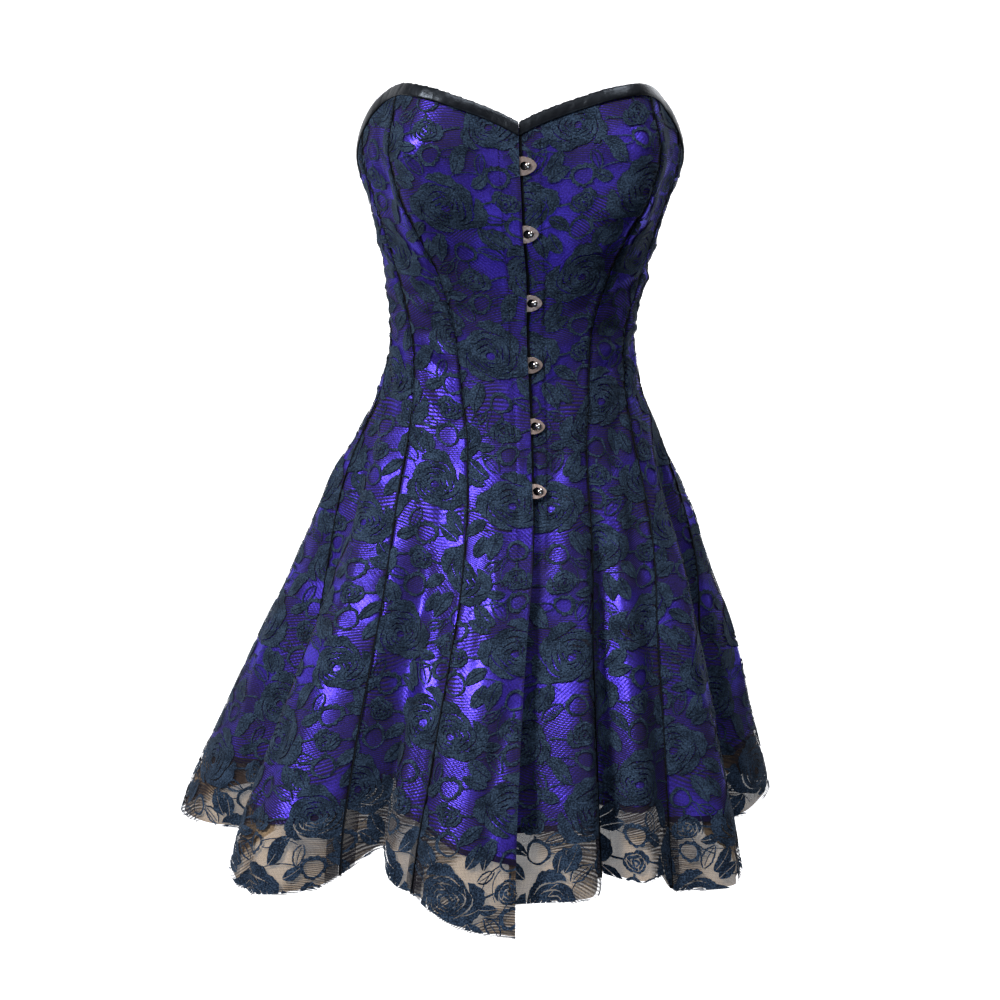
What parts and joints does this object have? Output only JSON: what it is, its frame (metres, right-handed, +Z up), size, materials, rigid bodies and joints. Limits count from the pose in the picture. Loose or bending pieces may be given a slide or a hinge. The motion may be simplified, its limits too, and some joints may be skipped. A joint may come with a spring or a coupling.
{
  "type": "corset dress",
  "caption": "Strapless sweetheart corset dress with a front busk, gored flared skirt and rose lace over satin, filled out and hollow.",
  "frame": {"origin": "middle of the waist, where the wearer's body holds the dress up", "axes": "+Z up, -Y out of the front of the dress, +X towards the wearer's left"},
  "size_m": [0.5697, 0.561, 0.7332],
  "materials": {
    "satin": "glossy violet blue satin with a cotton backing",
    "lace": "matt slate blue rose lace on fine net",
    "binding": "black satin bias binding",
    "steel": "worn nickel-plated busk steel"
  },
  "bodies": {
    "root": {"satin_front_right": "satin", "satin_princess_right": "satin", "satin_side_front_right": "satin", "satin_side_back_right": "satin", "satin_back_right": "satin", "satin_centre_back_right": "satin", "satin_front_left": "satin", "satin_princess_left": "satin", "satin_side_front_left": "satin", "satin_side_back_left": "satin", "satin_back_left": "satin", "satin_centre_back_left": "satin", "lace_front_right": "lace", "lace_princess_right": "lace", "lace_side_front_right": "lace", "lace_side_back_right": "lace", "lace_back_right": "lace", "lace_centre_back_right": "lace", "lace_front_left": "lace", "lace_princess_left": "lace", "lace_side_front_left": "lace", "lace_side_back_left": "lace", "lace_back_left": "lace", "lace_centre_back_left": "lace", "neckline_binding": "binding", "busk_loop_1": "steel", "busk_loop_2": "steel", "busk_loop_3": "steel", "busk_loop_4": "steel", "busk_loop_5": "steel", "busk_loop_6": "steel", "busk_stud_1": "steel", "busk_stud_2": "steel", "busk_stud_3": "steel", "busk_stud_4": "steel", "busk_stud_5": "steel", "busk_stud_6": "steel"}
  },
  "joints": []
}
